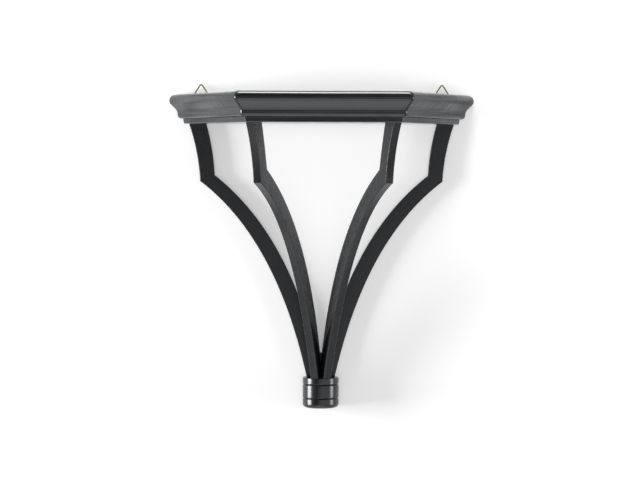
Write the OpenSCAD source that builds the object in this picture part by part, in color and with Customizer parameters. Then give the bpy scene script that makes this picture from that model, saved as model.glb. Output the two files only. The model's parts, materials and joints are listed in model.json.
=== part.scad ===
// Wall bracket: a moulded shelf on four sawn legs that run down into a turned drum.
// The wall is the plane y = 0 and the shelf stands out towards -Y. The origin is the middle of
// the shelf board's back edge.

/* [Shelf] */
// Width over the moulding, at the wall
shelf_w = 305; // [240:1:400]
// Depth from the wall to the front of the moulding
shelf_d = 203; // [160:1:260]
// Width over the moulding, at the front corners
front_w = 165; // [120:1:220]
// Thickness of the moulded shelf board
board_t = 24; // [23.8:0.1:32]
// Thickness of the under board
under_t = 5.1; // [4:0.1:10]
// How far the under board's edge is set in from the nose of the moulding
under_in = 13; // [12:0.1:18]
// How much further in the same edge is at its bottom
under_lean = 0.6; // [0.2:0.1:1]
// Radius along the under board's lower edge
under_r = 1.3; // [0.5:0.1:2]

/* [Moulding] */
// Height of the nose below the top, and radius of the edge above it
nose_h = 5.8; // [5:0.1:6.2]
// Radius of the round below the nose
belly_r = 6.1; // [5:0.1:6.6]
// Radius of the hollow under the round
cove_r = 8.1; // [7:0.1:8.6]
// Slope where the round runs into the hollow, from upright
slope_angle = 44; // [43:1:50]
// Depth in from the nose of the flat band under the hollow
band_in = 7.9; // [7.6:0.1:8.2]
// Radius of the shelf board's lower corner
corner_r = 3.9; // [2:0.1:4.2]

/* [Legs] */
// Thickness of the legs
leg_t = 7.9; // [6:0.1:12]
// Height of the drum's rim below the shelf's underside
foot_drop = 253; // [200:1:320]

/* [Wall legs] */
// Distance from the under board's end to the outer edge, at the top
wall_leg_in = 5.6; // [3:0.1:10]
// Width of the top end
wall_top_w = 17.4; // [12:0.1:24]
// Distance from the shelf's underside down to the elbow's outer corner
wall_elbow_drop = 57.3; // [40:0.1:80]
// How far the elbow's outer corner is in from the top's outer edge
wall_elbow_in = 11.3; // [6:0.1:20]
// Width of the elbow, level
wall_elbow_w = 14.6; // [10:0.1:20]
// How much higher the elbow's inner corner is than its outer corner
wall_elbow_rise = 6; // [2:0.1:12]
// Distance from the drum's side to the outer edge at the drum
wall_foot_in = 3.9; // [3:0.1:6]
// How far past the middle the inner edge would end, if the two legs didn't meet
wall_foot_past = 0.5; // [0:0.1:3]
// Bow of the outer edge above the elbow
wall_upper_out_bow = 2; // [0.5:0.1:4]
// Bow of the inner edge above the elbow
wall_upper_in_bow = 1.5; // [0.5:0.1:4]
// Bow of the outer edge below the elbow
wall_lower_out_bow = 19.6; // [10:0.1:24]
// Bow of the inner edge below the elbow
wall_lower_in_bow = 20.6; // [12:0.1:24]
// How far up towards the elbow the outer bow leans
wall_out_lean = 24.6; // [0:0.1:32]
// How far up towards the elbow the inner bow leans
wall_in_lean = 21.6; // [0:0.1:32]

/* [Front legs] */
// Distance from the under board's corner to the outer edge, at the top
front_leg_in = 9.6; // [5:0.1:14]
// Width of the top end
front_top_w = 21.3; // [14:0.1:26]
// Distance from the shelf's underside down to the elbow's outer corner
front_elbow_drop = 56.7; // [40:0.1:80]
// How far the elbow's outer corner is in from the top's outer edge
front_elbow_in = 18.6; // [10:0.1:26]
// Width of the elbow, level
front_elbow_w = 15.3; // [11:0.1:20]
// How much higher the elbow's inner corner is than its outer corner
front_elbow_rise = 12.9; // [5:0.1:16]
// Distance from the drum's side to the outer edge at the drum
front_foot_in = 0.6; // [0.5:0.1:2]
// Width of the foot at the drum
front_foot_w = 12.8; // [10:0.1:13]
// Bow of the outer edge above the elbow
front_upper_out_bow = 3.3; // [0.5:0.1:5]
// Bow of the inner edge above the elbow
front_upper_in_bow = 0.6; // [0.2:0.1:3]
// Bow of the outer edge below the elbow
front_lower_out_bow = 27; // [16:0.1:34]
// Bow of the inner edge below the elbow
front_lower_in_bow = 28.5; // [18:0.1:34]
// How far up towards the elbow the outer bow leans
front_out_lean = 31.7; // [0:0.1:40]
// How far up towards the elbow the inner bow leans
front_in_lean = 13.7; // [0:0.1:40]

/* [Drum] */
// Diameter
drum_d = 36.2; // [35:0.1:44]
// Height
drum_h = 30.4; // [26:0.1:40]
// How much of the drum's back is sawn off, where it meets the wall
drum_sawn = 6.7; // [5.5:0.1:7]
// Height of the lower edge's rounding, and its depth
drum_edge_r = 4; // [2:0.1:5]
// Radius of the rim's edge
rim_r = 0.8; // [0.3:0.1:1.5]
// Distance from the rim down to the upper groove
groove_a = 6.9; // [5:0.1:9]
// Distance from the rim down to the lower groove
groove_b = 20.6; // [16:0.1:23]
// Width of a groove at the surface
groove_w = 1.7; // [1:0.1:2.5]
// Depth of a groove
groove_deep = 1; // [0.5:0.1:1.4]

/* [Joinery] */
// Length of the tenons on the legs' feet
tenon_l = 12; // [8:0.5:18]
// Thickness of the tenons
tenon_t = 4.6; // [3:0.1:5]
// Width of the tenons
tenon_w = 7; // [5:0.1:8]
// Gap round a tenon in its mortise, on every side
tenon_gap = 0.1; // [0.05:0.05:0.2]
// Shank diameter of the leg screws
leg_screw_d = 3.4; // [2.5:0.1:4]
// Head diameter of the leg screws
leg_screw_head_d = 6.6; // [5:0.1:7.5]
// Length of the leg screws
leg_screw_l = 20; // [16:1:28]
// Distance from a leg's inner edge to its screw, at the top
leg_screw_in = 6; // [4:0.1:8]
// Width of the slot in a screw's head
slot_w = 0.7; // [0.5:0.1:1]

/* [Hangers] */
// Distance from the shelf's end, at the wall, to the middle of a hanger
hanger_in = 32; // [20:0.5:60]
// Wire diameter of the rings
wire_d = 1.5; // [1.3:0.1:2.2]
// Height of a ring's outer tip above the shelf
ring_up = 10.8; // [8:0.1:14]
// Depth of a ring's lower bar below the top of the shelf
ring_down = 7; // [5:0.1:9]
// Angle at a ring's tip
ring_angle = 67; // [58:1:74]
// Bend radius at a ring's corners, to the middle of the wire
ring_bend = 1.2; // [1:0.1:2.6]
// Distance from the wall to the ring's plane
ring_y = 1.95; // [1.95:0.05:2.6]
// Gap between the bar and the strap's loop, all round
ring_gap = 0.08; // [0.04:0.01:0.1]
// Thickness of the strap's sheet
strap_t = 0.8; // [0.6:0.05:1]
// Width of the strap
strap_w = 9; // [7:0.1:11]
// Length of the strap below the bar
strap_l = 14.4; // [12:0.1:15.5]
// Distance from the bar down to the strap's screw
strap_screw_down = 8.4; // [7:0.1:10]
// Shank diameter of the hanger screws
hanger_screw_d = 2.6; // [2:0.1:3]
// Head diameter of the hanger screws
hanger_screw_head_d = 5; // [4:0.1:6]
// Diameter of the flat on top of a hanger screw's head
hanger_screw_flat_d = 3; // [2:0.1:3.6]
// Head height of the hanger screws
hanger_screw_head_h = 1.2; // [0.8:0.1:1.3]
// Length of the hanger screws under the head
hanger_screw_l = 14; // [8:1:20]
// Gap round the ring and the strap in their recess
recess_gap = 0.6; // [0.3:0.1:1]

/* [Hidden] */

paint_colour = "#2b2d2e";
brass_colour = "#a08a50";
steel_colour = "#9a9a98";

// Cuts run this far past a face
past = 1;
// Straight steps along each arc of an outline, and facets of a round piece
leg_steps = 20;
moulding_steps = 8;
round_steps = 64;
// How far a wire's straights run into its bends, and how much thicker a bend is, at its radius
wire_lap = 0.1;
wire_swell = 0.02;
// A screw's point is cut off at this diameter
point_d = 0.2;

// Heights, from the origin
top_z = board_t / 2;
seam_z = -board_t / 2;
underside_z = seam_z - under_t;
rim_z = underside_z - foot_drop;

// The shelf's end edges lean in towards the front by this angle from the wall
end_angle = atan2(shelf_d, (shelf_w - front_w) / 2);

// The under board's corners, at its bottom
under_low_in = under_in + under_lean;
under_back_x = shelf_w / 2 - under_low_in / sin(end_angle);
under_front_x = front_w / 2 - under_low_in * tan(end_angle / 2);
under_front_y = shelf_d - under_low_in;

// Distance from the wall to the drum's axis
drum_y = drum_d / 2 - drum_sawn;

// A front leg runs from the drum's axis towards the under board's front corner
front_leg_angle = atan2(under_front_y - drum_y, under_front_x);
front_top_out = norm([under_front_x, under_front_y - drum_y]) - front_leg_in;
wall_top_out = under_back_x - wall_leg_in;

// The elbows' outer corners, out from the drum's axis and down from the shelf's underside
wall_elbow = [wall_top_out - wall_elbow_in, wall_elbow_drop];
front_elbow = [front_top_out - front_elbow_in, front_elbow_drop];

// The legs' outer edges at the drum, and the middle of each tenon
wall_foot_out = drum_d / 2 - wall_foot_in;
front_foot_out = drum_d / 2 - front_foot_in;
wall_tenon_r = wall_foot_out / 2;
front_tenon_r = front_foot_out - front_foot_w / 2;

// The hangers' places along the shelf, and the leg screws' places out from the drum's axis
hanger_x = shelf_w / 2 - hanger_in;
wall_screw_r = wall_top_out - wall_top_w + leg_screw_in;
front_screw_r = front_top_out - front_top_w + leg_screw_in;

// A ring is a triangle of wire. From its bar up to the point where its arms' middles would meet,
// and half the same triangle's base.
bar_z = top_z - ring_down;
half_tip = ring_angle / 2;
ring_h = ring_up + ring_down - wire_d / 2 - ring_bend + ring_bend / sin(half_tip);
ring_half_w = ring_h * tan(half_tip);
bar_half = ring_half_w - ring_bend / tan((90 - half_tip) / 2);

// The strap's loop round the bar, the recess that takes both, and the face of the folded strap,
// which lies on the recess's floor
loop_r = wire_d / 2 + ring_gap + strap_t;
recess_deep = ring_y + loop_r;
strap_face_y = 2 * strap_t - recess_deep;

// Points of a sawn edge from a to b, bent towards the right of the way by bow. The bend leans
// towards a by lean.
function edge_points(a, b, bow, lean = 0) =
    let (way = (b - a) / norm(b - a), side = [way.y, -way.x],
         pull = (a + b) / 2 + 2 * bow * side - lean * way)
    [for (i = [0:leg_steps]) let (t = i / leg_steps, u = 1 - t) u * u * a + 2 * t * u * pull + t * t * b];

function reversed(points) = [for (i = [len(points) - 1:-1:0]) points[i]];

// A leg's outline, out from the drum's axis and up, from the corners of its outer and inner edges at
// the top, elbow and foot. Each edge has a bow above the elbow, a bow below it and a lean.
function leg_outline(outer, inner, outer_bows, inner_bows) =
    concat(edge_points(outer[0], outer[1], outer_bows[0]),
           edge_points(outer[1], outer[2], outer_bows[1], outer_bows[2]),
           reversed(edge_points(inner[1], inner[2], inner_bows[1], inner_bows[2])),
           reversed(edge_points(inner[0], inner[1], inner_bows[0])));

function leg_corners(top_out, elbow, foot_out) =
    [[top_out, underside_z], [elbow.x, underside_z - elbow.y], [foot_out, rim_z]];

// Profile of the shelf board's edge: in from the nose, and up from the top. The round above the
// nose and the one below it run through a short slope into a hollow, then down a flat band.
function edge_profile() =
    let (c = cos(slope_angle), s = sin(slope_angle),
         slope_l = (band_in - (belly_r + cove_r) * (1 - c)) / s,
         cove_z = -nose_h - belly_r * s - slope_l * c)
    concat([for (i = [0:moulding_steps]) let (t = 90 * i / moulding_steps)
                nose_h * [1 - sin(t), cos(t) - 1]],
           [for (i = [1:moulding_steps]) let (t = slope_angle * i / moulding_steps)
                [belly_r * (1 - cos(t)), -nose_h - belly_r * sin(t)]],
           [for (i = [0:moulding_steps]) let (t = slope_angle * (1 - i / moulding_steps))
                [band_in - cove_r * (1 - cos(t)), cove_z - cove_r * (s - sin(t))]],
           [for (i = [0:moulding_steps]) let (t = 90 * i / moulding_steps)
                [band_in + corner_r * (1 - cos(t)), -board_t + corner_r * (1 - sin(t))]]);

// Profile of the under board's edge: in from the top of its face, and up from its top
function under_profile() =
    concat([[0, 0]],
           [for (i = [0:moulding_steps]) let (t = 90 * i / moulding_steps)
                [under_lean + under_r * (1 - cos(t)), -under_t + under_r * (1 - sin(t))]]);

// A slab whose edge has the given profile. Its nose is on the plane y = 0, and it runs on past the
// shelf towards +Y and to both sides.
module edge_slab(profile, thick) {
    run = shelf_w + shelf_d;
    translate([-run, 0, 0]) rotate([90, 0, 90]) linear_extrude(2 * run)
        polygon(concat(profile, [[run, -thick], [run, 0]]));
}

// The same slab turned to the shelf's right end
module end_slab(profile, thick, set_in) {
    translate([shelf_w / 2, 0, 0]) rotate([0, 0, end_angle]) translate([0, set_in, 0])
        edge_slab(profile, thick);
}

// The shelf's outline with the given profile on its front and ends, set in from the nose
module edged_board(profile, thick, set_in) {
    run = shelf_w + shelf_d;
    intersection() {
        translate([0, set_in - shelf_d, 0]) edge_slab(profile, thick);
        end_slab(profile, thick, set_in);
        mirror([1, 0, 0]) end_slab(profile, thick, set_in);
        translate([-run, -run, -thick]) cube([2 * run, run, thick]);
    }
}

// Recess in the board's back for one hanger
module hanger_recess() {
    half_w = bar_half + ring_bend + wire_d / 2 + recess_gap;
    low = bar_z - wire_d / 2 - recess_gap;
    translate([-half_w, -recess_deep, low]) cube([2 * half_w, recess_deep + past, top_z + past - low]);
    translate([-strap_w / 2 - recess_gap, -recess_deep, bar_z - strap_l - recess_gap])
        cube([strap_w + 2 * recess_gap, recess_deep + past, strap_l + recess_gap]);
}

// Cut for the slot in a head that stands up from z = 0, down to half the head's height
module head_slot(head_d, head_h) {
    translate([-head_d, -slot_w / 2, head_h / 2]) cube([2 * head_d, slot_w, head_h]);
}

// A screw's shank runs down from z = 0 and ends in a point
module shank(d, l) {
    translate([0, 0, d - l]) cylinder(d = d, h = l - d, $fn = round_steps);
    translate([0, 0, -l]) cylinder(d1 = point_d, d2 = d, h = d, $fn = round_steps);
}

// A hanger screw goes into the board from the back, and its head bears on the strap
module hanger_screw() {
    translate([0, strap_face_y, bar_z - strap_screw_down]) rotate([-90, 0, 0]) {
        shank(hanger_screw_d, hanger_screw_l);
        difference() {
            cylinder(d1 = hanger_screw_head_d, d2 = hanger_screw_flat_d, h = hanger_screw_head_h,
                     $fn = round_steps);
            head_slot(hanger_screw_head_d, hanger_screw_head_h);
        }
    }
}

// A leg screw stands head up, with the top of its head at z = 0. Without a slot it is its own hole.
module leg_screw(slotted) {
    sink = (leg_screw_head_d - leg_screw_d) / 2;
    translate([0, 0, -sink]) {
        shank(leg_screw_d, leg_screw_l - sink);
        difference() {
            cylinder(d1 = leg_screw_d, d2 = leg_screw_head_d, h = sink, $fn = round_steps);
            if (slotted) head_slot(leg_screw_head_d, sink);
        }
    }
}

module wall_screw(slotted) {
    translate([wall_screw_r, -leg_t / 2, seam_z]) leg_screw(slotted);
}

module front_screw(slotted) {
    translate([0, -drum_y, seam_z]) rotate([0, 0, -front_leg_angle]) translate([front_screw_r, 0, 0])
        leg_screw(slotted);
}

// Tenon of a leg that stands in the plane y = 0, or its mortise when gap isn't 0
module tenon(middle, gap = 0) {
    translate([middle - tenon_w / 2 - gap, -tenon_t / 2 - gap, rim_z - tenon_l - gap])
        cube([tenon_w + 2 * gap, tenon_t + 2 * gap, tenon_l + gap + past]);
}

module wall_tenon(gap = 0) {
    translate([0, -leg_t / 2, 0]) tenon(wall_tenon_r, gap);
}

module front_tenon(gap = 0) {
    translate([0, -drum_y, 0]) rotate([0, 0, -front_leg_angle]) tenon(front_tenon_r, gap);
}

// Right wall leg
module wall_leg() {
    difference() {
        union() {
            intersection() {
                rotate([90, 0, 0]) linear_extrude(leg_t)
                    polygon(leg_outline(
                        leg_corners(wall_top_out, wall_elbow, wall_foot_out),
                        leg_corners(wall_top_out - wall_top_w,
                                    wall_elbow - [wall_elbow_w, wall_elbow_rise], -wall_foot_past),
                        [wall_upper_out_bow, wall_lower_out_bow, wall_out_lean],
                        [wall_upper_in_bow, wall_lower_in_bow, wall_in_lean]));
                translate([0, -shelf_d, rim_z - past]) cube([shelf_w, 2 * shelf_d, foot_drop + 2 * past]);
            }
            wall_tenon();
        }
        wall_screw(false);
    }
}

// Right front leg. Its inner side is cut back to the middle, where it meets the left one.
module front_leg() {
    difference() {
        union() {
            intersection() {
                translate([0, -drum_y, 0]) rotate([0, 0, -front_leg_angle]) translate([0, leg_t / 2, 0])
                    rotate([90, 0, 0]) linear_extrude(leg_t)
                        polygon(leg_outline(
                            leg_corners(front_top_out, front_elbow, front_foot_out),
                            leg_corners(front_top_out - front_top_w,
                                        front_elbow - [front_elbow_w, front_elbow_rise],
                                        front_foot_out - front_foot_w),
                            [front_upper_out_bow, front_lower_out_bow, front_out_lean],
                            [front_upper_in_bow, front_lower_in_bow, front_in_lean]));
                translate([0, -2 * shelf_d, rim_z - past]) cube([shelf_w, 2 * shelf_d, foot_drop + 2 * past]);
            }
            front_tenon();
        }
        front_screw(false);
    }
}

module drum_groove() {
    polygon([[drum_d / 2 - groove_deep, 0], [drum_d / 2 + groove_deep, groove_w],
             [drum_d / 2 + groove_deep, -groove_w]]);
}

module drum_profile() {
    r = drum_d / 2;
    difference() {
        union() {
            translate([0, -drum_h]) square([r - drum_edge_r, drum_h]);
            translate([0, drum_edge_r - drum_h]) square([r, drum_h - drum_edge_r - rim_r]);
            translate([0, -rim_r - drum_edge_r]) square([r - rim_r, rim_r + drum_edge_r]);
            translate([r - drum_edge_r, drum_edge_r - drum_h]) circle(drum_edge_r, $fn = round_steps);
            translate([r - rim_r, -rim_r]) circle(rim_r, $fn = round_steps);
        }
        translate([0, -groove_a]) drum_groove();
        translate([0, -groove_b]) drum_groove();
    }
}

module shelf_board() {
    color(paint_colour) difference() {
        translate([0, 0, top_z]) edged_board(edge_profile(), board_t, 0);
        for (x = [-hanger_x, hanger_x]) translate([x, 0, 0]) {
            hanger_recess();
            hanger_screw();
        }
    }
}

module under_board() {
    color(paint_colour) difference() {
        translate([0, 0, seam_z]) edged_board(under_profile(), under_t, under_in);
        for (side = [0, 1]) mirror([side, 0, 0]) {
            wall_screw(false);
            front_screw(false);
        }
    }
}

module right_wall_leg() { color(paint_colour) wall_leg(); }
module left_wall_leg() { color(paint_colour) mirror([1, 0, 0]) wall_leg(); }
module right_front_leg() { color(paint_colour) front_leg(); }
module left_front_leg() { color(paint_colour) mirror([1, 0, 0]) front_leg(); }

// The drum is turned whole, then sawn flat where it meets the wall
module boss() {
    color(paint_colour) difference() {
        intersection() {
            translate([0, -drum_y, rim_z]) rotate_extrude($fn = round_steps) drum_profile();
            translate([-drum_d, -2 * drum_d, rim_z - drum_h - past])
                cube([2 * drum_d, 2 * drum_d, drum_h + 2 * past]);
        }
        for (side = [0, 1]) mirror([side, 0, 0]) {
            wall_tenon(tenon_gap);
            front_tenon(tenon_gap);
        }
    }
}

module leg_screws() {
    color(steel_colour) for (side = [0, 1]) mirror([side, 0, 0]) {
        wall_screw(true);
        front_screw(true);
    }
}

// A strip folded round the bar, lying flat against the floor of the recess
module hanger_strap() {
    thick = 2 * strap_t;
    difference() {
        union() {
            translate([-strap_w / 2, -ring_y, bar_z]) rotate([0, 90, 0])
                cylinder(r = loop_r, h = strap_w, $fn = round_steps);
            translate([-strap_w / 2, -recess_deep, bar_z + strap_w / 2 - strap_l])
                cube([strap_w, thick, strap_l - strap_w / 2]);
            translate([0, strap_face_y, bar_z + strap_w / 2 - strap_l]) rotate([90, 0, 0])
                cylinder(d = strap_w, h = thick, $fn = round_steps);
        }
        translate([-strap_w, -ring_y, bar_z]) rotate([0, 90, 0])
            cylinder(r = loop_r - strap_t, h = 2 * strap_w, $fn = round_steps);
        translate([0, strap_face_y + past, bar_z - strap_screw_down]) rotate([90, 0, 0])
            cylinder(d = hanger_screw_d, h = thick + 2 * past, $fn = round_steps);
    }
}

// A straight of the ring's wire, which runs a little way into the bend at each end
module wire(length) {
    translate([0, 0, -wire_lap]) cylinder(d = wire_d, h = length + 2 * wire_lap, $fn = round_steps);
}

// A bend of the ring's wire, from one direction from its middle through a turn. It is a hair
// thicker than the straights, as bent wire is.
module wire_bend(middle, from, turn) {
    translate(middle) rotate([0, 0, from]) rotate_extrude(angle = turn, $fn = round_steps)
        translate([ring_bend, 0]) circle(wire_d / 2 + wire_swell, $fn = round_steps);
}

// A ring lies in its own plane with its bar along x, and is then stood up behind the shelf
module hanger_ring() {
    arm = norm([ring_half_w, ring_h]) - ring_bend / tan((90 - half_tip) / 2) - ring_bend / tan(half_tip);
    translate([0, -ring_y, bar_z]) rotate([90, 0, 0]) {
        translate([-bar_half, 0, 0]) rotate([0, 90, 0]) wire(2 * bar_half);
        wire_bend([0, ring_h - ring_bend / sin(half_tip), 0], half_tip, 180 - 2 * half_tip);
        for (side = [0, 1]) mirror([side, 0, 0]) {
            wire_bend([bar_half, ring_bend, 0], -90, 90 + half_tip);
            translate([bar_half + ring_bend * cos(half_tip), ring_bend * (1 + sin(half_tip)), 0])
                rotate([0, 90, 90 + half_tip]) wire(arm);
        }
    }
}

module left_hanger_strap() { color(brass_colour) translate([-hanger_x, 0, 0]) hanger_strap(); }
module right_hanger_strap() { color(brass_colour) translate([hanger_x, 0, 0]) hanger_strap(); }
module left_hanger_ring() { color(brass_colour) translate([-hanger_x, 0, 0]) hanger_ring(); }
module right_hanger_ring() { color(brass_colour) translate([hanger_x, 0, 0]) hanger_ring(); }

module hanger_screws() {
    color(brass_colour) for (x = [-hanger_x, hanger_x]) translate([x, 0, 0]) hanger_screw();
}

shelf_board();
under_board();
left_wall_leg();
right_wall_leg();
left_front_leg();
right_front_leg();
boss();
leg_screws();
left_hanger_strap();
right_hanger_strap();
left_hanger_ring();
right_hanger_ring();
hanger_screws();
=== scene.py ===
# Black wooden wall bracket: a moulded shelf on four sawn legs that gather in a turned drum.
# Everything is in metres. The wall is the plane y = 0 and the shelf stands out towards -Y.
import json
import math

import bmesh
import bpy
from mathutils import Matrix, Vector

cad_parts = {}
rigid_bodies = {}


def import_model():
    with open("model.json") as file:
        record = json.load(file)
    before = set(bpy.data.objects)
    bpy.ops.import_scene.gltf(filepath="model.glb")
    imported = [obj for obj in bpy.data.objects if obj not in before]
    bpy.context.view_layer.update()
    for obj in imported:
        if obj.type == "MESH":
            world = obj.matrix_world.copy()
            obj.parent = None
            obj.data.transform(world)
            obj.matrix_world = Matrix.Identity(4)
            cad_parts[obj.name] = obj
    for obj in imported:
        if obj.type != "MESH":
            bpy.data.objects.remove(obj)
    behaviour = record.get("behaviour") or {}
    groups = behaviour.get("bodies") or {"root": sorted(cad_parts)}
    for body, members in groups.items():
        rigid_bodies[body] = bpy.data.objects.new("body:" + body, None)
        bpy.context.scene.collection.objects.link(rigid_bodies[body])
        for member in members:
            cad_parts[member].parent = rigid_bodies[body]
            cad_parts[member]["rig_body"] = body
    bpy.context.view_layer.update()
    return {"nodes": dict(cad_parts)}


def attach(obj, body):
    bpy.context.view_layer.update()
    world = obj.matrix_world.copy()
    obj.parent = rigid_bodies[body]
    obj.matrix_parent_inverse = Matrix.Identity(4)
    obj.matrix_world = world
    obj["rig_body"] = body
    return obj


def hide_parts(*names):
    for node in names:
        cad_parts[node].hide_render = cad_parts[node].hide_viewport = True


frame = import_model()
print("frame loaded:", ", ".join(sorted(frame["nodes"])))

mm = 0.001
sameWithin = 0.0001 * mm   # points this near each other count as one place
mergeWithin = 0.001 * mm   # and points this near each other are merged


# nodes
def plug(tree, socket, value):  # links a socket, or sets a plain value
    if isinstance(value, bpy.types.NodeSocket):
        tree.links.new(value, socket)
    else:
        socket.default_value = value


def addNode(tree, kind, inputs=None, **settings):
    node = tree.nodes.new(kind)
    for name, value in settings.items():
        setattr(node, name, value)
    for name, value in (inputs or {}).items():
        plug(tree, node.inputs[name], value)
    return node


def maths(tree, operation, *values):
    return addNode(tree, "ShaderNodeMath", dict(enumerate(values)), operation=operation).outputs[0]


def vectorMaths(tree, operation, *values):
    return addNode(tree, "ShaderNodeVectorMath", dict(enumerate(values)), operation=operation).outputs[0]


def scaled(tree, vector, factor):
    inputs = {0: vector, "Scale": factor}
    return addNode(tree, "ShaderNodeVectorMath", inputs, operation="SCALE").outputs[0]


def joinedXyz(tree, **parts):
    return addNode(tree, "ShaderNodeCombineXYZ", parts).outputs[0]


def splitXyz(tree, vector):
    return addNode(tree, "ShaderNodeSeparateXYZ", {"Vector": vector}).outputs


def mapped(tree, value, span, result=(0.0, 1.0), shape="LINEAR"):
    inputs = {"Value": value, "From Min": span[0], "From Max": span[1],
              "To Min": result[0], "To Max": result[1]}
    return addNode(tree, "ShaderNodeMapRange", inputs, interpolation_type=shape).outputs[0]


def mixedNumber(tree, share, first, last):  # the Mix node keeps its two numbers in sockets 2 and 3
    return addNode(tree, "ShaderNodeMix", {0: share, 2: first, 3: last}).outputs[0]


def mixedColour(tree, share, first, last, blend="MIX"):  # and its two colours in sockets 6 and 7
    inputs = {0: share, 6: first, 7: last}
    return addNode(tree, "ShaderNodeMix", inputs, data_type="RGBA", blend_type=blend).outputs[2]


def noise(tree, where, scale, detail, roughness):
    inputs = {"Vector": where, "Scale": scale, "Detail": detail, "Roughness": roughness}
    return addNode(tree, "ShaderNodeTexNoise", inputs).outputs["Fac"]


def newShapeTree(name, inputs):
    tree = bpy.data.node_groups.new(name, "GeometryNodeTree")
    tree.is_modifier = True
    tree.interface.new_socket("Geometry", in_out="INPUT", socket_type="NodeSocketGeometry")
    for label, kind in inputs:
        tree.interface.new_socket(label, in_out="INPUT", socket_type="NodeSocket" + kind)
    tree.interface.new_socket("Geometry", in_out="OUTPUT", socket_type="NodeSocketGeometry")
    return tree, tree.nodes.new("NodeGroupInput").outputs


def closeTree(tree, geometry, material):  # every tree ends the same way
    realised = addNode(tree, "GeometryNodeRealizeInstances", {"Geometry": geometry}).outputs[0]
    painted = addNode(tree, "GeometryNodeSetMaterial", {"Geometry": realised, "Material": material})
    plug(tree, tree.nodes.new("NodeGroupOutput").inputs[0], painted.outputs[0])


def captured(tree, geometry, name, kind, value):  # keeps a value on the geometry's points
    node = addNode(tree, "GeometryNodeCaptureAttribute", {"Geometry": geometry})
    node.capture_items.new(kind, name)
    plug(tree, node.inputs[name], value)
    return node.outputs["Geometry"], node.outputs[name]


def capturedPlace(tree, geometry, name):
    here = addNode(tree, "GeometryNodeInputPosition").outputs[0]
    return captured(tree, geometry, name, "VECTOR", here)


def picked(tree, kind, condition, ifTrue, ifFalse):
    inputs = {"Switch": condition, "False": ifFalse, "True": ifTrue}
    return addNode(tree, "GeometryNodeSwitch", inputs, input_type=kind).outputs[0]


def swept(tree, path, section, caps=False):
    inputs = {"Curve": path, "Profile Curve": section, "Fill Caps": caps}
    return addNode(tree, "GeometryNodeCurveToMesh", inputs).outputs[0]


def moved(tree, geometry, place):
    return addNode(tree, "GeometryNodeSetPosition", {"Geometry": geometry, "Position": place}).outputs[0]


# meshes
def addObject(name, data):
    made = bpy.data.objects.new(name, data)
    bpy.context.scene.collection.objects.link(made)
    return made


def lineMesh(name, points, closed=False):
    mesh = bpy.data.meshes.new(name)
    count = len(points)
    edges = [(i, (i + 1) % count) for i in range(count if closed else count - 1)]
    mesh.from_pydata(points, edges, [])
    return mesh


def cardMesh(name, corners, material):
    mesh = bpy.data.meshes.new(name)
    mesh.from_pydata(corners, [], [(0, 1, 2, 3)])
    mesh.materials.append(material)
    return mesh


def boxMesh(name, low, high):
    mesh = bpy.data.meshes.new(name)
    work = bmesh.new()
    bmesh.ops.create_cube(work, size=1.0)
    for v in work.verts:
        v.co = Vector(high[i] if v.co[i] > 0 else low[i] for i in range(3))
    work.to_mesh(mesh)
    work.free()
    return mesh


def bakedMesh(name, holder):
    bpy.context.view_layer.update()
    graph = bpy.context.evaluated_depsgraph_get()
    made = bpy.data.meshes.new_from_object(holder.evaluated_get(graph), depsgraph=graph)
    made.name = name
    return made


def grown(name, mesh, tree, values):  # runs a tree on a mesh and keeps the result as a plain mesh
    holder = addObject(name + "Maker", mesh)
    modifier = holder.modifiers.new(tree.name, "NODES")
    modifier.node_group = tree
    for item in tree.interface.items_tree:
        if item.in_out == "INPUT" and item.name in values:
            modifier[item.identifier] = values[item.name]
    made = bakedMesh(name, holder)
    bpy.data.objects.remove(holder)
    return made


def edited(mesh, change=None):  # runs a bmesh edit, with all faces pointing outwards after it
    work = bmesh.new()
    work.from_mesh(mesh)
    if change:
        change(work)
    bmesh.ops.remove_doubles(work, verts=work.verts, dist=mergeWithin)
    bmesh.ops.recalc_face_normals(work, faces=work.faces)
    work.to_mesh(mesh)
    work.free()
    return mesh


def cutFlat(point, normal):  # keeps what is on the side that normal points away from
    def change(work):
        every = work.verts[:] + work.edges[:] + work.faces[:]
        cut = bmesh.ops.bisect_plane(work, geom=every, plane_co=point, plane_no=normal,
                                     clear_outer=True, dist=sameWithin)
        rim = [e for e in cut["geom_cut"] if isinstance(e, bmesh.types.BMEdge)]
        bmesh.ops.holes_fill(work, edges=rim, sides=0)
    return change


easedAbove = math.radians(28)  # edges that turn by more than this are rubbed round


def finished(name, mesh, node, easing=0.0, easingSteps=2, sharpAt=40, cutters=(),
             isExtra=False):  # an extra piece rides with the node's body but doesn't stand for the node
    holder = addObject(name + "Maker", mesh)
    for cutter in cutters:
        cut = holder.modifiers.new("Cut", "BOOLEAN")
        cut.object, cut.solver = cutter, "EXACT"
    if easing:
        ease = holder.modifiers.new("Ease", "BEVEL")
        ease.width, ease.segments, ease.limit_method = easing, easingSteps, "ANGLE"
        ease.angle_limit, ease.use_clamp_overlap = easedAbove, True
        ease.miter_outer = "MITER_ARC"
    made = bakedMesh(name, holder)
    bpy.data.objects.remove(holder)
    made.polygons.foreach_set("use_smooth", [True] * len(made.polygons))
    made.set_sharp_from_angle(angle=math.radians(sharpAt))
    piece = addObject(name, made)
    weigh = piece.modifiers.new("Weigh", "WEIGHTED_NORMAL")
    weigh.keep_sharp = True
    steady = bakedMesh(name, piece)
    piece.modifiers.clear()
    piece.data = steady
    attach(piece, frame["nodes"][node]["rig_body"])
    if not isExtra:
        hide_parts(node)


# finishes
def newMaterial(name):
    material = bpy.data.materials.new(name)
    material.use_nodes = True
    tree = material.node_tree
    where = addNode(tree, "ShaderNodeTexCoord").outputs["Object"]
    return material, tree, tree.nodes["Principled BSDF"].inputs, where


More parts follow.
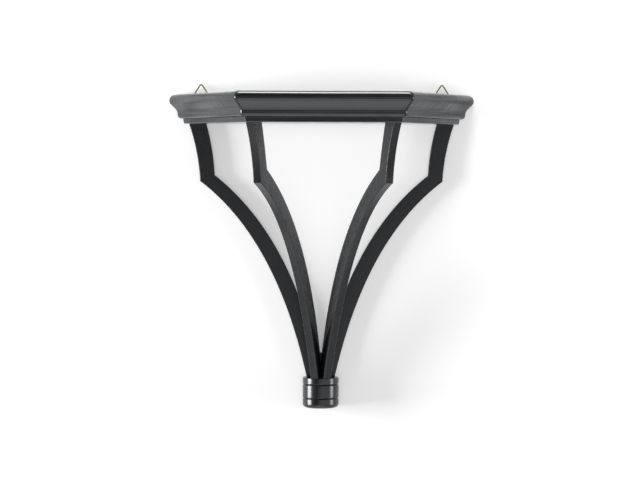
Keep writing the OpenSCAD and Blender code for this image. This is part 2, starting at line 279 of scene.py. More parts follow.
def addBump(tree, shader, height):
    bump = addNode(tree, "ShaderNodeBump", {"Height": height, "Distance": 1.0, "Strength": 1.0})
    plug(tree, shader["Normal"], bump.outputs[0])


paintValues = {  # a noise is its scale per metre, detail and roughness, and heights are in metres
    "black": ((0.0062, 0.0068, 0.0074, 1), (0.0118, 0.0130, 0.0142, 1)),
    "rough": (0.12, 0.20),
    "roughSpan": (0.3, 0.7),            # the part of the patches and grain that the roughness follows
    "patchNoise": (60.0, 4.0, 0.55),    # where the black is a little greyer and duller
    "patchShare": 0.6,                  # of that in the roughness, beside the grain
    "flow": 14.0,                       # how much longer a mark is along the piece than across it
    "grainNoise": (260.0, 3.0, 0.6),    # pores and brush marks
    "grainHeight": 0.000024,
    "streakNoise": (95.0, 1.0, 0.5),    # long low ridges left by the brush and the scraper
    "streakHeight": 0.00024,
    "waveNoise": (22.0, 1.0, 0.5),      # slow hollows and humps under the paint
    "waveHeight": 0.0005,
    "waveSquash": 0.35,                 # along the piece, so that they are longer there too
    "peelNoise": (1300.0, 1.0, 0.5),    # the fine skin of the dried paint
    "peelHeight": 0.000003,
}


def blackPaint(name, along, relief=1.0, dull=0.0, shine=0.5):  # along names the axes that the marks run on
    v = paintValues
    material, tree, shader, where = newMaterial(name)
    shader["Specular IOR Level"].default_value = shine

    def drawnOut(share):  # a place in which marks are longer along the piece
        scale = [share if axis in along else 1.0 for axis in "xyz"]
        return addNode(tree, "ShaderNodeMapping", {"Vector": where, "Scale": scale}).outputs[0]

    grainPlace = drawnOut(1.0 / v["flow"])
    grain = noise(tree, grainPlace, *v["grainNoise"])
    streak = noise(tree, grainPlace, *v["streakNoise"])
    wave = noise(tree, drawnOut(v["waveSquash"]), *v["waveNoise"])
    peel = noise(tree, where, *v["peelNoise"])
    patch = noise(tree, where, *v["patchNoise"])
    plug(tree, shader["Base Color"], mixedColour(tree, patch, *v["black"]))
    uneven = maths(tree, "MULTIPLY_ADD", patch, v["patchShare"],
                   maths(tree, "MULTIPLY", grain, 1.0 - v["patchShare"]))
    plug(tree, shader["Roughness"], mapped(tree, uneven, v["roughSpan"], [r + dull for r in v["rough"]]))
    height = 0.0
    for mark, size in ((wave, "waveHeight"), (streak, "streakHeight"), (grain, "grainHeight"),
                       (peel, "peelHeight")):
        height = maths(tree, "MULTIPLY_ADD", mark, v[size], height)
    addBump(tree, shader, maths(tree, "MULTIPLY", height, relief))
    return material


brassValues = {
    "clean": (0.42, 0.34, 0.17, 1),
    "tarnish": (0.13, 0.11, 0.06, 1),
    "rough": (0.24, 0.5),               # where it is clean, and where it is tarnished
    "stainNoise": (260.0, 4.0, 0.6),
    "stainSpan": (0.4, 0.62),
    "scratchNoise": (1500.0, 2.0, 0.5),
    "scratchHeight": 0.00002,
}


def oldBrass(name):
    v = brassValues
    material, tree, shader, where = newMaterial(name)
    shader["Metallic"].default_value = 1.0
    stain = mapped(tree, noise(tree, where, *v["stainNoise"]), v["stainSpan"])
    plug(tree, shader["Base Color"], mixedColour(tree, stain, v["clean"], v["tarnish"]))
    plug(tree, shader["Roughness"], mapped(tree, stain, (0.0, 1.0), v["rough"]))
    scratch = noise(tree, where, *v["scratchNoise"])
    addBump(tree, shader, maths(tree, "MULTIPLY", scratch, v["scratchHeight"]))
    return material


steelValues = {
    "dark": (0.42, 0.42, 0.41, 1),
    "light": (0.58, 0.58, 0.57, 1),
    "rough": (0.25, 0.45),
    "stainNoise": (400.0, 3.0, 0.5),
}


def plainSteel(name):
    v = steelValues
    material, tree, shader, where = newMaterial(name)
    shader["Metallic"].default_value = 1.0
    stain = noise(tree, where, *v["stainNoise"])
    plug(tree, shader["Base Color"], mixedColour(tree, stain, v["dark"], v["light"]))
    plug(tree, shader["Roughness"], mapped(tree, stain, (0.0, 1.0), v["rough"]))
    return material


boardPaint = blackPaint("boardPaint", "x")
legPaint = blackPaint("legPaint", "z", relief=0.32, dull=0.11, shine=0.41)
drumPaint = blackPaint("drumPaint", "xy", relief=0.12, dull=0.09)
brass = oldBrass("oldBrass")
steel = plainSteel("plainSteel")
print("finishes made")

# sizes shared by several pieces
shared = {
    "topZ": 12.0 * mm,
    "seamZ": -12.0 * mm,
    "undersideZ": -17.1 * mm,
    "rimZ": -270.1 * mm,
    "drumY": 11.4 * mm,
    "hangerSpan": 241 * mm,
}
shelf = {"width": 305 * mm, "depth": 203 * mm, "frontWidth": 165 * mm, "thick": 24 * mm, "ease": 0.3 * mm}
underBoard = {
    "setIn": 13.0 * mm, "lean": 0.6 * mm, "thick": 5.1 * mm, "edgeRadius": 1.3 * mm, "ease": 0.35 * mm,
}
endLean = math.atan2(shelf["depth"], (shelf["width"] - shelf["frontWidth"]) / 2)

# legs
legValues = {
    "thickness": 7.9 * mm, "arris": 0.8 * mm,
    "steps": 34,       # along each half, above and below the elbow
    "bowSteps": 96, "arrisSteps": 3,
}
wallLeg = {
    "topWidth": 17.4 * mm, "elbowIn": 11.3 * mm, "elbowDrop": 57.3 * mm,
    "elbowWidth": 14.6 * mm, "elbowRise": 6.0 * mm, "footOut": 14.2 * mm, "footIn": -0.5 * mm,
    "outerUpperBow": 2.0 * mm, "innerUpperBow": 1.5 * mm, "outerLowerBow": 19.6 * mm,
    "innerLowerBow": 20.6 * mm, "outerLowerLean": 24.6 * mm, "innerLowerLean": 21.6 * mm,
}
frontLeg = {
    "topWidth": 21.3 * mm, "elbowIn": 18.6 * mm, "elbowDrop": 56.7 * mm,
    "elbowWidth": 15.3 * mm, "elbowRise": 12.9 * mm, "footOut": 17.5 * mm, "footIn": 4.7 * mm,
    "outerUpperBow": 3.3 * mm, "innerUpperBow": 0.6 * mm, "outerLowerBow": 27.0 * mm,
    "innerLowerBow": 28.5 * mm, "outerLowerLean": 31.7 * mm, "innerLowerLean": 13.7 * mm,
}
legsIn = {"wall": 5.6 * mm, "front": 9.6 * mm}  # from the under board's corners, at its bottom


def bowedEdgeTree():  # an edge bowed to the right of the way, whose bend leans towards its start
    tree = bpy.data.node_groups.new("bowedEdge", "GeometryNodeTree")
    for label, kind in (("From", "Vector"), ("To", "Vector"), ("Bow", "Float"), ("Lean", "Float")):
        tree.interface.new_socket(label, in_out="INPUT", socket_type="NodeSocket" + kind)
    tree.interface.new_socket("Edge", in_out="OUTPUT", socket_type="NodeSocketGeometry")
    given = tree.nodes.new("NodeGroupInput").outputs
    run = vectorMaths(tree, "NORMALIZE", vectorMaths(tree, "SUBTRACT", given["To"], given["From"]))
    side = vectorMaths(tree, "CROSS_PRODUCT", (0, 1, 0), run)
    middle = scaled(tree, vectorMaths(tree, "ADD", given["From"], given["To"]), 0.5)
    out = scaled(tree, side, maths(tree, "MULTIPLY", given["Bow"], 2.0))
    pull = vectorMaths(tree, "SUBTRACT", vectorMaths(tree, "ADD", middle, out),
                       scaled(tree, run, given["Lean"]))
    bend = addNode(tree, "GeometryNodeCurveQuadraticBezier",
                   {"Resolution": legValues["bowSteps"], "Start": given["From"], "Middle": pull,
                    "End": given["To"]})
    plug(tree, tree.nodes.new("NodeGroupOutput").inputs[0], bend.outputs["Curve"])
    return tree


def sawnLegTree(bowedEdge):
    ends = [place + edge for edge in ("Outer", "Inner") for place in ("top", "elbow", "foot")]
    bows = [edge + half + bend for edge in ("outer", "inner") for bend in ("Bow", "Lean")
            for half in ("Upper", "Lower")]
    tree, given = newShapeTree("sawnLeg", [(name, "Vector") for name in ends] +
                               [(name, "Float") for name in bows] +
                               [("thickness", "Float"), ("arris", "Float"), ("steps", "Int"),
                                ("material", "Material")])
    rail = addNode(tree, "GeometryNodeCurvePrimitiveLine", {"Start": (0, 0, 0), "End": (0, 0, 1)})
    count = maths(tree, "ADD", maths(tree, "MULTIPLY", given["steps"], 2.0), 1.0)
    rail = addNode(tree, "GeometryNodeResampleCurve", {"Curve": rail.outputs[0], "Count": count})
    factor = addNode(tree, "GeometryNodeSplineParameter").outputs["Factor"]
    rail, along = captured(tree, rail.outputs[0], "along", "FLOAT", factor)
    # the section keeps its real easing at both edges, whatever the leg's width is there
    section = addNode(tree, "GeometryNodeCurvePrimitiveQuadrilateral",
                      {"Width": given["thickness"], "Height": given["thickness"]})
    section = addNode(tree, "GeometryNodeFilletCurve",
                      {"Curve": section.outputs[0], "Radius": given["arris"],
                       "Count": legValues["arrisSteps"]}, mode="POLY")
    section, across = capturedPlace(tree, section.outputs[0], "across")
    bar = swept(tree, rail, section, caps=True)
    upperPart = maths(tree, "MULTIPLY", along, 2.0)
    lowerPart = maths(tree, "SUBTRACT", upperPart, 1.0)
    isUpper = maths(tree, "LESS_THAN", along, 0.5)
    edges = {}
    for edge in ("Outer", "Inner"):
        found = []
        for first, last, part, half in (("top", "elbow", upperPart, "Upper"),
                                        ("elbow", "foot", lowerPart, "Lower")):
            curve = addNode(tree, "GeometryNodeGroup", node_tree=bowedEdge)
            plug(tree, curve.inputs["From"], given[first + edge])
            plug(tree, curve.inputs["To"], given[last + edge])
            plug(tree, curve.inputs["Bow"], given[edge.lower() + half + "Bow"])
            plug(tree, curve.inputs["Lean"], given[edge.lower() + half + "Lean"])
            sample = addNode(tree, "GeometryNodeSampleCurve", {"Curves": curve.outputs[0], "Factor": part},
                             mode="FACTOR")
            found.append(sample.outputs["Position"])
        edges[edge] = picked(tree, "VECTOR", isUpper, *found)
    offset = splitXyz(tree, across)
    isOuter = maths(tree, "GREATER_THAN", offset["X"], 0.0)
    near = picked(tree, "VECTOR", isOuter, edges["Outer"], edges["Inner"])
    outward = vectorMaths(tree, "NORMALIZE", vectorMaths(tree, "SUBTRACT", edges["Outer"], edges["Inner"]))
    halfSection = maths(tree, "MULTIPLY", given["thickness"], 0.5)
    inset = maths(tree, "SUBTRACT", offset["X"],
                  maths(tree, "MULTIPLY", maths(tree, "SIGN", offset["X"]), halfSection))
    place = vectorMaths(tree, "ADD", near, scaled(tree, outward, inset))
    place = vectorMaths(tree, "ADD", place, joinedXyz(tree, Y=offset["Y"]))
    closeTree(tree, moved(tree, bar, place), given["material"])
    return tree


def makeLeg(tree, name, node, sizes, topOut, turn, isLeft):
    topZ, rimZ = shared["undersideZ"], shared["rimZ"]
    elbowOut, elbowZ = topOut - sizes["elbowIn"], topZ - sizes["elbowDrop"]
    values = {
        "topOuter": (topOut, 0, topZ),
        "elbowOuter": (elbowOut, 0, elbowZ),
        "footOuter": (sizes["footOut"], 0, rimZ),
        "topInner": (topOut - sizes["topWidth"], 0, topZ),
        "elbowInner": (elbowOut - sizes["elbowWidth"], 0, elbowZ + sizes["elbowRise"]),
        "footInner": (sizes["footIn"], 0, rimZ),
        "material": legPaint,
    }
    values.update({key: size for key, size in sizes.items() if key.endswith(("Bow", "Lean"))})
    values.update(legValues)
    mesh = grown(name, bpy.data.meshes.new(name + "Seed"), tree, values)
    mesh.transform(turn)
    edited(mesh, cutFlat((0, 0, 0), (-1, 0, 0)))  # the two legs of a pair meet in the middle
    if isLeft:
        mesh.transform(Matrix.Scale(-1, 4, (1, 0, 0)))
        edited(mesh)
    finished(name, mesh, node)


def makeLegs():
    tree = sawnLegTree(bowedEdgeTree())
    lowIn = underBoard["setIn"] + underBoard["lean"]
    wallOut = shelf["width"] / 2 - lowIn / math.sin(endLean) - legsIn["wall"]
    cornerX = shelf["frontWidth"] / 2 - lowIn * math.tan(endLean / 2)
    cornerY = shelf["depth"] - lowIn - shared["drumY"]
    frontOut = math.hypot(cornerX, cornerY) - legsIn["front"]
    wallTurn = Matrix.Translation((0, -legValues["thickness"] / 2, 0))
    frontTurn = (Matrix.Translation((0, -shared["drumY"], 0)) @
                 Matrix.Rotation(-math.atan2(cornerY, cornerX), 4, "Z"))
    for side in ("left", "right"):
        isLeft = side == "left"
        makeLeg(tree, side + "WallLeg", side + "_wall_leg", wallLeg, wallOut, wallTurn, isLeft)
        makeLeg(tree, side + "FrontLeg", side + "_front_leg", frontLeg, frontOut, frontTurn, isLeft)


footWedge = {
    "width": 3.1 * mm, "height": 24 * mm, "front": 6.9 * mm, "back": 0.8 * mm, "below": 1 * mm,
    "ease": 0.7 * mm, "easeSteps": 4,
}


def makeFootWedge():  # fills the narrow gap between the wall legs just above the drum
    w = footWedge
    mesh = boxMesh("footWedge", (-w["width"] / 2, -w["front"], shared["rimZ"] - w["below"]),
                   (w["width"] / 2, -w["back"], shared["rimZ"] + w["height"]))
    mesh.materials.append(legPaint)
    finished("footWedge", mesh, "left_wall_leg", easing=w["ease"], easingSteps=w["easeSteps"], isExtra=True)


makeLegs()
makeFootWedge()
print("legs made")

# shelf and under board
moulding = {  # a rounded nose that runs through a short slope into a hollow, then a flat band
    "noseHeight": 5.8 * mm, "bellyRadius": 6.1 * mm, "hollowRadius": 8.1 * mm, "slope": 44,
    "bandIn": 7.9 * mm, "cornerRadius": 3.9 * mm, "steps": 14,
    "mitreEase": 2.5 * mm, "mitreSteps": 8, "mitreSharp": 25,
}
recess = {  # behind each hanger: a shallow one for its plate and a slot for its folded end
    "halfWidth": 12.24 * mm, "deep": 3.58 * mm, "low": 3.65 * mm,
    "slotHalf": 5.1 * mm, "slotLow": -10.0 * mm, "slotHigh": 4.4 * mm,
}


def mitredEdgeTree():  # runs a profile (x in from the edge, z up) round the shelf's front and ends
    tree, given = newShapeTree("mitredEdge", [("width", "Float"), ("depth", "Float"),
                                              ("frontWidth", "Float"), ("material", "Material")])
    # the rail's four points are the left end, the two front corners and the right end
    rail = addNode(tree, "GeometryNodeMeshLine", {"Count": 4}).outputs[0]
    rail = addNode(tree, "GeometryNodeMeshToCurve", {"Mesh": rail}).outputs[0]
    index = addNode(tree, "GeometryNodeInputIndex").outputs[0]
    side = mapped(tree, maths(tree, "GREATER_THAN", index, 1.5), (0.0, 1.0), (-1.0, 1.0))
    fromMiddle = maths(tree, "ABSOLUTE", maths(tree, "SUBTRACT", index, 1.5))
    isFront = maths(tree, "LESS_THAN", fromMiddle, 1.0)
    spread = maths(tree, "MULTIPLY", maths(tree, "SUBTRACT", given["width"], given["frontWidth"]), 0.5)
    lean = maths(tree, "ARCTAN2", given["depth"], spread)

    def choose(atFront, atWall):
        return picked(tree, "FLOAT", isFront, atFront, atWall)

    halfWidth = maths(tree, "MULTIPLY", choose(given["frontWidth"], given["width"]), 0.5)
    cornerX = maths(tree, "MULTIPLY", side, halfWidth)
    cornerY = choose(maths(tree, "MULTIPLY", given["depth"], -1.0), 0.0)
    inward = choose(maths(tree, "TANGENT", maths(tree, "MULTIPLY", lean, 0.5)),
                    maths(tree, "DIVIDE", 1.0, maths(tree, "SINE", lean)))
    mitreX = maths(tree, "MULTIPLY", maths(tree, "MULTIPLY", side, inward), -1.0)
    rail, corner = captured(tree, rail, "corner", "VECTOR", joinedXyz(tree, X=cornerX, Y=cornerY))
    rail, mitre = captured(tree, rail, "mitre", "VECTOR", joinedXyz(tree, X=mitreX, Y=choose(1.0, 0.0)))
    profile = addNode(tree, "GeometryNodeMeshToCurve", {"Mesh": given["Geometry"]}).outputs[0]
    profile, shape = capturedPlace(tree, profile, "shape")
    part = splitXyz(tree, shape)
    place = vectorMaths(tree, "ADD", corner, scaled(tree, mitre, part["X"]))
    place = vectorMaths(tree, "ADD", place, joinedXyz(tree, Z=part["Z"]))
    closeTree(tree, moved(tree, swept(tree, rail, profile), place), given["material"])
    return tree


def quarterTurn(steps):
    return [math.pi / 2 * i / steps for i in range(steps + 1)]


def shelfProfile():
    m, steps = moulding, moulding["steps"]
    nose, belly, hollow, corner = m["noseHeight"], m["bellyRadius"], m["hollowRadius"], m["cornerRadius"]
    slope = math.radians(m["slope"])
    straight = (m["bandIn"] - (belly + hollow) * (1 - math.cos(slope))) / math.sin(slope)
    hollowZ = -nose - belly * math.sin(slope) - straight * math.cos(slope)
    points = [(nose * (1 - math.sin(t)), nose * (math.cos(t) - 1)) for t in quarterTurn(steps)]
    points += [(belly * (1 - math.cos(t)), -nose - belly * math.sin(t))
               for t in (slope * i / steps for i in range(1, steps + 1))]
    points += [(m["bandIn"] - hollow * (1 - math.cos(t)), hollowZ - hollow * (math.sin(slope) - math.sin(t)))
               for t in (slope * (1 - i / steps) for i in range(steps + 1))]
    points += [(m["bandIn"] + corner * (1 - math.cos(t)), corner * (1 - math.sin(t)) - shelf["thick"])
               for t in quarterTurn(steps)]
    return [(x, 0, z + shared["topZ"]) for x, z in points]


def underProfile():
    u, radius = underBoard, underBoard["edgeRadius"]
    points = [(0, 0)] + [(u["lean"] + radius * (1 - math.cos(t)), radius * (1 - math.sin(t)) - u["thick"])
                         for t in quarterTurn(moulding["steps"])]
    return [(x + u["setIn"], 0, z + shared["seamZ"]) for x, z in points]


def closeBoard(work):  # adds the top, the underside and the back edge to a run moulding
    back = [v for v in work.verts if abs(v.co.y) < sameWithin]
    left = sorted((v for v in back if v.co.x < 0), key=lambda v: -v.co.z)
    right = sorted((v for v in back if v.co.x > 0), key=lambda v: v.co.z)
    work.faces.new(left + right)
    for z in (max(v.co.z for v in work.verts), min(v.co.z for v in work.verts)):
        work.faces.new(sorted((v for v in work.verts if abs(v.co.z - z) < sameWithin), key=lambda v: v.co.x))


def easeMitres(work):  # the front corners are rubbed round
    tan = math.tan(endLean / 2)
    half, depth = shelf["frontWidth"] / 2, shelf["depth"]

    def onMitre(v):
        return v.co.y < -depth / 2 and abs(abs(v.co.x) - half + (v.co.y + depth) * tan) < mergeWithin

    edges = [e for e in work.edges if all(onMitre(v) for v in e.verts) and len(e.link_faces) == 2
             and e.calc_face_angle(0) > math.radians(moulding["mitreSharp"])]
    bmesh.ops.bevel(work, geom=edges, offset=moulding["mitreEase"], segments=moulding["mitreSteps"],
                    profile=0.5, affect="EDGES", clamp_overlap=True)


def recessCutters():
    made, past = [], 5 * mm  # they reach past the board, so no thin skin is left
    for x in (-shared["hangerSpan"] / 2, shared["hangerSpan"] / 2):
        for half, low, high in ((recess["halfWidth"], recess["low"], shared["topZ"] + past),
                                (recess["slotHalf"], recess["slotLow"], recess["slotHigh"])):
            mesh = boxMesh("recessCutter", (x - half, -recess["deep"], low), (x + half, past, high))
            made.append(addObject("recessCutter", mesh))
    return made


def makeBoards():
    tree = mitredEdgeTree()
    plan = {key: shelf[key] for key in ("width", "depth", "frontWidth")}
    plan["material"] = boardPaint
    shelfMesh = grown("shelfBoard", lineMesh("shelfProfile", shelfProfile()), tree, plan)
    cutters = recessCutters()
    edited(shelfMesh, closeBoard)
    edited(shelfMesh, easeMitres)
    finished("shelfBoard", shelfMesh, "shelf_board", easing=shelf["ease"], cutters=cutters)
    for cutter in cutters:
        bpy.data.objects.remove(cutter)
    underMesh = grown("underBoard", lineMesh("underProfile", underProfile()), tree, plan)
    edited(underMesh, closeBoard)
    finished("underBoard", underMesh, "under_board", easing=underBoard["ease"])


makeBoards()
print("boards made")

# drum
drum = {  # each groove is given by how far its middle is below the rim
    "radius": 18.1 * mm, "height": 30.4 * mm, "edgeRadius": 4 * mm, "rimRadius": 0.8 * mm,
    "grooves": (6.9 * mm, 20.6 * mm), "grooveWidth": 1.7 * mm, "grooveDeep": 1.0 * mm,
    "grooveEase": 0.2 * mm, "ease": 0.25 * mm, "steps": 10, "segments": 144,
}


def turnedTree():  # turns a profile (x out from the axis, z up) round the z axis
    tree, given = newShapeTree("turned", [("segments", "Int"), ("material", "Material")])
    ring = addNode(tree, "GeometryNodeCurvePrimitiveCircle", {"Resolution": given["segments"], "Radius": 1.0})
    ring, outward = capturedPlace(tree, ring.outputs[0], "outward")
    profile = addNode(tree, "GeometryNodeMeshToCurve", {"Mesh": given["Geometry"]}).outputs[0]
    profile, shape = capturedPlace(tree, profile, "shape")
    part = splitXyz(tree, shape)
    place = vectorMaths(tree, "ADD", scaled(tree, outward, part["X"]), joinedXyz(tree, Z=part["Z"]))
    merged = addNode(tree, "GeometryNodeMergeByDistance",
                     {"Geometry": moved(tree, swept(tree, ring, profile), place), "Distance": mergeWithin})
    closeTree(tree, merged.outputs[0], given["material"])
    return tree


def grooveProfile(depth):  # a V groove with its lips and root a little rounded
    half, ease = drum["grooveWidth"] / 2, drum["grooveEase"]
    slope = drum["grooveDeep"] / half
    lipDrop, rootRise = ease * slope * 0.25, ease * slope * 0.5
    points = []
    for at in (-half - ease, -half, -half + ease, -ease, 0, ease, half - ease, half, half + ease):
        inside = max(0.0, half - abs(at)) * slope
        if abs(at) == half:
            inside = lipDrop
        if at == 0:
            inside -= rootRise
        points.append((drum["radius"] - inside, -depth - at))
    return points


def drumProfile():
    d, turn = drum, quarterTurn(drum["steps"])
    points = [(0, 0)]
    points += [(d["radius"] - d["rimRadius"] * (1 - math.sin(t)), d["rimRadius"] * (math.cos(t) - 1))
               for t in turn]
    for depth in d["grooves"]:
        points += grooveProfile(depth)
    points += [(d["radius"] - d["edgeRadius"] * (1 - math.cos(t)),
                -d["height"] + d["edgeRadius"] * (1 - math.sin(t))) for t in turn]
    points += [(0, -d["height"])]
    return [(x, 0, z) for x, z in points]


def makeDrum():
    mesh = grown("drum", lineMesh("drumProfile", drumProfile()), turnedTree(),
                 {"segments": drum["segments"], "material": drumPaint})
    mesh.transform(Matrix.Translation((0, -shared["drumY"], shared["rimZ"])))
    edited(mesh, cutFlat((0, 0, 0), (0, 1, 0)))  # the flat that lies on the wall
    finished("drum", mesh, "boss", easing=drum["ease"])


makeDrum()
print("drum made")

# hangers
hanger = {  # the ring's tip stands up above the shelf's top, and its straight bar lies down below it
    "wire": 1.5 * mm, "up": 10.8 * mm, "down": 7 * mm, "tipAngle": 67, "bend": 1.2 * mm, "y": -1.95 * mm,
    "bendSteps": 10, "wireSegments": 20,
    "strapEase": 0.12 * mm, "screwEase": 0.06 * mm,
}


def bentWireTree():
    tree, given = newShapeTree("bentWire", [("bend", "Float"), ("wire", "Float"), ("material", "Material")])
    path = addNode(tree, "GeometryNodeMeshToCurve", {"Mesh": given["Geometry"]})
    bent = addNode(tree, "GeometryNodeFilletCurve",
                   {"Curve": path.outputs[0], "Radius": given["bend"], "Count": hanger["bendSteps"]},
                   mode="POLY")
    section = addNode(tree, "GeometryNodeCurvePrimitiveCircle",
                      {"Resolution": hanger["wireSegments"],
                       "Radius": maths(tree, "MULTIPLY", given["wire"], 0.5)})
    closeTree(tree, swept(tree, bent.outputs[0], section.outputs[0]), given["material"])
    return tree


def ringCorners(x):
    h, half = hanger, math.radians(hanger["tipAngle"] / 2)
    barZ = shared["topZ"] - h["down"]
    height = h["up"] + h["down"] - h["wire"] / 2 - h["bend"] + h["bend"] / math.sin(half)
    halfBar = height * math.tan(half)
    return [(x - halfBar, h["y"], barZ), (x + halfBar, h["y"], barZ), (x, h["y"], barZ + height)]


def mergedCopy(node, material):  # the CAD mesh of a small fitting, with its triangles joined to whole faces
    mesh = frame["nodes"][node].data.copy()
    flatWithin = math.radians(0.5)

    def change(work):
        bmesh.ops.remove_doubles(work, verts=work.verts, dist=mergeWithin)
        bmesh.ops.dissolve_limit(work, angle_limit=flatWithin, verts=work.verts, edges=work.edges)

    edited(mesh, change)
    mesh.materials.clear()
    mesh.materials.append(material)
    for polygon in mesh.polygons:
        polygon.material_index = 0
    return mesh


def makeHangers():
    tree = bentWireTree()
    ringValues = {"bend": hanger["bend"], "wire": hanger["wire"], "material": brass}
    for side, x in (("left", -shared["hangerSpan"] / 2), ("right", shared["hangerSpan"] / 2)):
        path = lineMesh(side + "RingPath", ringCorners(x), closed=True)
        ringMesh = edited(grown(side + "Ring", path, tree, ringValues))
        finished(side + "Ring", ringMesh, side + "_hanger_ring", sharpAt=60)
    for name, node, ease in (("leftStrap", "left_hanger_strap", "strapEase"),
                             ("rightStrap", "right_hanger_strap", "strapEase"),
                             ("hangerScrews", "hanger_screws", "screwEase")):
        finished(name, mergedCopy(node, brass), node, easing=hanger[ease])


makeHangers()
legScrews = frame["nodes"]["leg_screws"]
legScrews.data.materials.clear()
legScrews.data.materials.append(steel)
print("hangers made")

# wall and floor
room = {
    "tint": (0.9, 0.9, 0.9, 1),
    "wallLift": 0.26,             # brings the plain wall up to white
    "floorLift": 0.5,
    "wallY": 0.6 * mm,
    "floorZ": -0.8,
    "reach": 9.0,
    "frontReach": 1.8,
    # how the glossy paint mirrors them: a little cool, and dimly and unevenly far out at the sides
    "cool": (0.96, 1.0, 1.015, 1),
    "middleLevel": 1.12,
    "sideLevel": 0.46,
    "wallFade": (0.115, 0.155),   # where along x the middle level gives way to the side's
    "floorFade": (0.22, 0.42),
    "wallMottle": (14.0, 40.0),   # clouds per metre along x, and the other way
    "floorMottle": (1.6, 7.0),
    "mottleNoise": (1.0, 1.0, 0.5),
    "mottleSpan": (0.32, 0.68),
    "mottleDepth": 0.40,
}


def mirroredShare(tree, isGlossy, fade, mottle):  # white to every ray but a glossy one
    place = addNode(tree, "ShaderNodeTexCoord").outputs["Object"]
    aside = mapped(tree, maths(tree, "ABSOLUTE", splitXyz(tree, place)["X"]), fade)
    inputs = {"Vector": place, "Scale": (mottle[0], mottle[1], mottle[1])}
    cloud = noise(tree, addNode(tree, "ShaderNodeMapping", inputs).outputs[0], *room["mottleNoise"])
    depth = room["mottleDepth"]
    sideLevel = mapped(tree, cloud, room["mottleSpan"],
                       (room["sideLevel"] * (1.0 - depth), room["sideLevel"] * (1.0 + depth)))
    dimmed = scaled(tree, room["cool"][:3], mixedNumber(tree, aside, room["middleLevel"], sideLevel))
    return mixedColour(tree, isGlossy, (1, 1, 1, 1), dimmed)


def paleSheet(name, corners, lift, fade, mottle):  # shows from its front only, and lets light through
    material = bpy.data.materials.new(name + "Pale")
    material.use_nodes = True
    tree = material.node_tree
    tree.nodes.clear()
    rays = addNode(tree, "ShaderNodeLightPath").outputs
    backfacing = addNode(tree, "ShaderNodeNewGeometry").outputs["Backfacing"]
    seen = maths(tree, "MAXIMUM", rays["Is Camera Ray"],
                 maths(tree, "MAXIMUM", rays["Is Glossy Ray"], rays["Is Transmission Ray"]))
    shown = maths(tree, "MULTIPLY", seen, maths(tree, "SUBTRACT", 1.0, backfacing))
    share = mirroredShare(tree, rays["Is Glossy Ray"], fade, mottle)
    tinted = mixedColour(tree, 1.0, room["tint"], share, blend="MULTIPLY")
    matt = addNode(tree, "ShaderNodeBsdfDiffuse", {"Color": tinted}).outputs[0]
    glow = addNode(tree, "ShaderNodeEmission", {"Color": share, "Strength": lift}).outputs[0]
    both = addNode(tree, "ShaderNodeAddShader", {0: matt, 1: glow}).outputs[0]
    clear = addNode(tree, "ShaderNodeBsdfTransparent").outputs[0]
    surface = addNode(tree, "ShaderNodeMixShader", {0: shown, 1: clear, 2: both}).outputs[0]
    addNode(tree, "ShaderNodeOutputMaterial", {"Surface": surface})
    addObject(name, cardMesh(name, corners, material))


def makeRoom():
    reach, near, wallY, floorZ = room["reach"], -room["frontReach"], room["wallY"], room["floorZ"]
    paleSheet("wall", [(-reach, wallY, floorZ), (reach, wallY, floorZ), (reach, wallY, reach),
                       (-reach, wallY, reach)], room["wallLift"], room["wallFade"], room["wallMottle"])
    paleSheet("floor", [(-reach, near, floorZ), (reach, near, floorZ), (reach, wallY, floorZ),
                        (-reach, wallY, floorZ)], room["floorLift"], room["floorFade"], room["floorMottle"])


makeRoom()
print("room made")

# light
studio = {
    "ambient": 0.30,
    # what the paint mirrors of the room in front, as levels and as directions across (x) and up (z)
    "roomDark": (0.08, 0.5),     # on the left and on the right
    "roomAcross": (0.015, 0.07),
    "roomSides": (-0.5, -0.15),  # nearer the sides than this the room is pale
    "farFloor": 1.0,             # a lit floor at the room's far end
    "farAcross": (-0.5, -0.12),
    "farLow": (-0.27, -0.19),
    "farHigh": (-0.08, -0.03),
    "lamps": {  # place, aimed at, width, height, watts, seen in the paint
        "leftBox": ((-1.47, -0.36, -0.2), (0, -0.05, -0.15), 0.60, 0.66, 34, True),
        "rightBox": ((1.45, -0.42, -0.2), (0, -0.05, -0.15), 0.42, 0.66, 10, True),
        "topBox": ((0, -0.26, 1.2), (0, -0.2, 0), 0.70, 0.60, 21, True),
        "frontFill": ((0, -2.2, -0.4), (0, 0, -0.15), 1.6, 1.0, 8, False),
    },
    "flag": ((-1.9, -2.6), (-0.75, -2.9), -0.8, 0.5),  # left end, right end, bottom, top
    "flagBlack": (0.01, 0.01, 0.01, 1),
}


def softBox(name, place, target, width, height, watts, mirrored):
    data = bpy.data.lights.new(name, "AREA")
    data.shape, data.size, data.size_y, data.energy = "RECTANGLE", width, height, watts
    lamp = addObject(name, data)
    lamp.location = place
    lamp.rotation_euler = (Vector(target) - Vector(place)).to_track_quat("-Z", "Y").to_euler()
    lamp.visible_camera = False
    lamp.visible_glossy = mirrored


def makeFlag():  # a black card that shows only as a dark streak in the paint
    material = bpy.data.materials.new("flagBlack")
    material.use_nodes = True
    shader = material.node_tree.nodes["Principled BSDF"].inputs
    shader["Base Color"].default_value = studio["flagBlack"]
    shader["Specular IOR Level"].default_value = 0.0
    (leftX, leftY), (rightX, rightY), bottom, top = studio["flag"]
    corners = [(leftX, leftY, bottom), (rightX, rightY, bottom), (rightX, rightY, top), (leftX, leftY, top)]
    flag = addObject("flag", cardMesh("flag", corners, material))
    for seenBy in ("visible_camera", "visible_diffuse", "visible_shadow", "visible_transmission"):
        setattr(flag, seenBy, False)


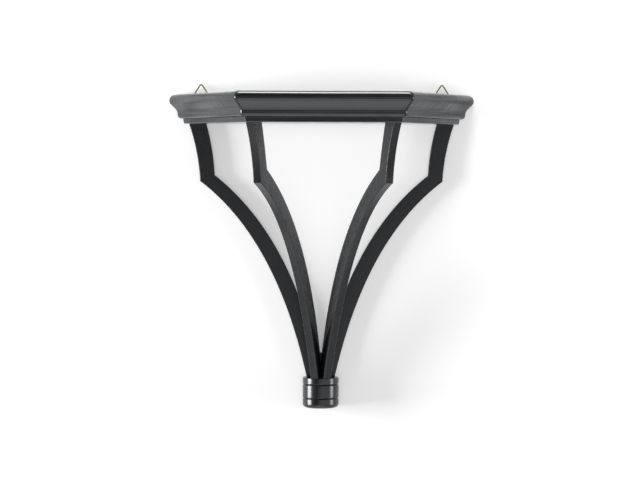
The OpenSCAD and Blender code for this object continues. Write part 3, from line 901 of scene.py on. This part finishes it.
def makeWorld():  # an even ambient light, and for glossy rays alone a room with dark and pale parts
    world = bpy.data.worlds.new("paleRoom")
    bpy.context.scene.world = world
    world.use_nodes = True
    sky = world.node_tree
    rays = addNode(sky, "ShaderNodeLightPath").outputs
    aim = splitXyz(sky, addNode(sky, "ShaderNodeTexCoord").outputs["Generated"])

    def ramp(axis, span, result=(0.0, 1.0)):
        return mapped(sky, aim[axis], studio[span], result, "SMOOTHSTEP")

    farBand = maths(sky, "MULTIPLY", ramp("Z", "farLow"), ramp("Z", "farHigh", (1.0, 0.0)))
    farBand = maths(sky, "MULTIPLY", farBand, ramp("X", "farAcross", (0.0, studio["farFloor"])))
    inFront = maths(sky, "ADD", farBand, ramp("X", "roomAcross", studio["roomDark"]))
    mirrored = mixedNumber(sky, rays["Is Glossy Ray"], studio["ambient"],
                           mixedNumber(sky, ramp("Y", "roomSides"), inFront, 1.0))
    isPlain = maths(sky, "MAXIMUM", rays["Is Camera Ray"], rays["Is Transmission Ray"])
    background = sky.nodes["Background"].inputs
    plug(sky, background["Color"], mixedColour(sky, rays["Is Glossy Ray"], (1, 1, 1, 1), room["cool"]))
    plug(sky, background["Strength"], mixedNumber(sky, isPlain, mirrored, 1.0))


for name, values in studio["lamps"].items():
    softBox(name, *values)
makeFlag()
makeWorld()
print("light made")

# camera
view = {
    "place": (-29.3 * mm, -2476.2 * mm, -40.1 * mm), "yaw": 0.0114, "pitch": -0.0376, "roll": 0.0036,
    "lens": 138.81, "sensor": 36.0, "near": 0.05, "far": 50.0,
}


def makeCamera():
    data = bpy.data.cameras.new("camera")
    data.lens, data.sensor_width = view["lens"], view["sensor"]
    data.clip_start, data.clip_end = view["near"], view["far"]
    camera = addObject("camera", data)
    forward = Vector((math.sin(view["yaw"]) * math.cos(view["pitch"]),
                      math.cos(view["yaw"]) * math.cos(view["pitch"]), math.sin(view["pitch"])))
    upright = forward.to_track_quat("-Z", "Y").to_matrix()
    camera.location = view["place"]
    camera.rotation_euler = (upright @ Matrix.Rotation(view["roll"], 3, "Z")).to_euler()
    bpy.context.scene.camera = camera


makeCamera()
bpy.context.scene.view_settings.view_transform = "Standard"
print("camera placed")
